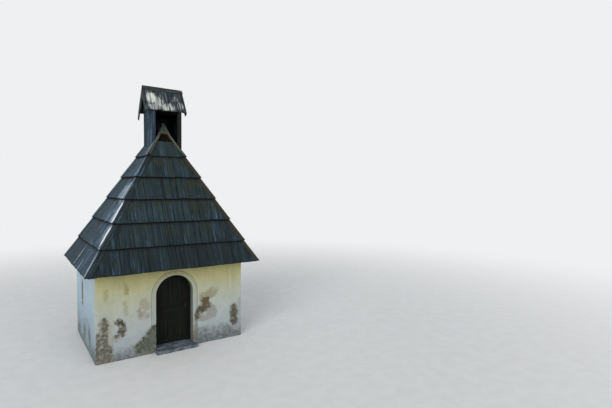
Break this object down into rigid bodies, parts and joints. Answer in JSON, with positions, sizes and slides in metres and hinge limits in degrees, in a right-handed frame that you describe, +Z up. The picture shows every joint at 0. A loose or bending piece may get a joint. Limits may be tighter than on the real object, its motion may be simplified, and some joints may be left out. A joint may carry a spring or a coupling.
{
  "type": "small chapel",
  "caption": "Small plastered wayside chapel with an arched wooden door, a steep hipped board roof and a square open-fronted bell turret under a small gable roof.",
  "frame": {"origin": "centre of the masonry footprint at ground level", "axes": "+X to the right along the front wall seen from outside, +Y from the front wall to the back wall, +Z up"},
  "size_m": [4.3799, 3.9036, 6.9839],
  "materials": {
    "wall_plaster": "matt lime plaster, yellowed at the top and damp at the foot",
    "band_plaster": "matt white lime plaster",
    "stone_slab": "rough worn stone",
    "door_wood": "dark weathered wood",
    "forged_iron": "dark forged iron",
    "window_wood": "dark weathered wood",
    "window_glass": "old clear glass",
    "roof_boards": "silver grey weathered boards",
    "trim_boards": "pale grey weathered boards",
    "gablet_red_boards": "red brown boards",
    "turret_roof_boards": "bleached boards with dark streaks",
    "ridge_board": "dark weathered board",
    "turret_boards": "grey weathered boards",
    "roof_timber": "rough sawn timber"
  },
  "bodies": {
    "building": {"back_wall": "wall_plaster", "ceiling_boards": "roof_timber", "collar_beams": "roof_timber", "door_band": "band_plaster", "door_frame": "door_wood", "door_pintles": "forged_iron", "door_step": "stone_slab", "floor_slab": "stone_slab", "front_wall_left": "wall_plaster", "front_wall_over_door": "wall_plaster", "front_wall_right": "wall_plaster", "gablet_boards_back": "gablet_red_boards", "gablet_boards_front": "gablet_red_boards", "gablet_trim_back": "trim_boards", "gablet_trim_front": "trim_boards", "hip_rafters": "roof_timber", "hip_strips": "trim_boards", "king_post": "roof_timber", "left_wall": "wall_plaster", "rafters_back": "roof_timber", "rafters_front": "roof_timber", "rafters_left": "roof_timber", "rafters_right": "roof_timber", "right_wall": "wall_plaster", "roof_back": "roof_boards", "roof_front": "roof_boards", "roof_left": "roof_boards", "roof_right": "roof_boards", "stub_beams": "roof_timber", "tie_beams": "roof_timber", "turret_corner_boards": "turret_boards", "turret_frames": "turret_boards", "turret_gable_left": "turret_boards", "turret_gable_right": "turret_boards", "turret_heads": "turret_boards", "turret_posts": "turret_boards", "turret_ridge_cap": "ridge_board", "turret_roof_back": "turret_roof_boards", "turret_roof_front": "turret_roof_boards", "turret_side_back": "turret_boards", "turret_side_left": "turret_boards", "turret_side_right": "turret_boards", "turret_verges": "turret_boards", "wall_plates": "roof_timber", "window_frame_left": "window_wood", "window_frame_right": "window_wood", "window_pane_left": "window_glass", "window_pane_right": "window_glass"},
    "door": {"door_leaf": "door_wood", "door_rails": "door_wood", "door_straps": "forged_iron", "door_latch": "forged_iron"}
  },
  "joints": [
    {"name": "door_hinge", "type": "hinge", "parent": "building", "child": "door", "pos_m": [-0.405, -1.192, 0.42], "axis": [0, 0, 1], "range_deg": [0, 95]}
  ]
}
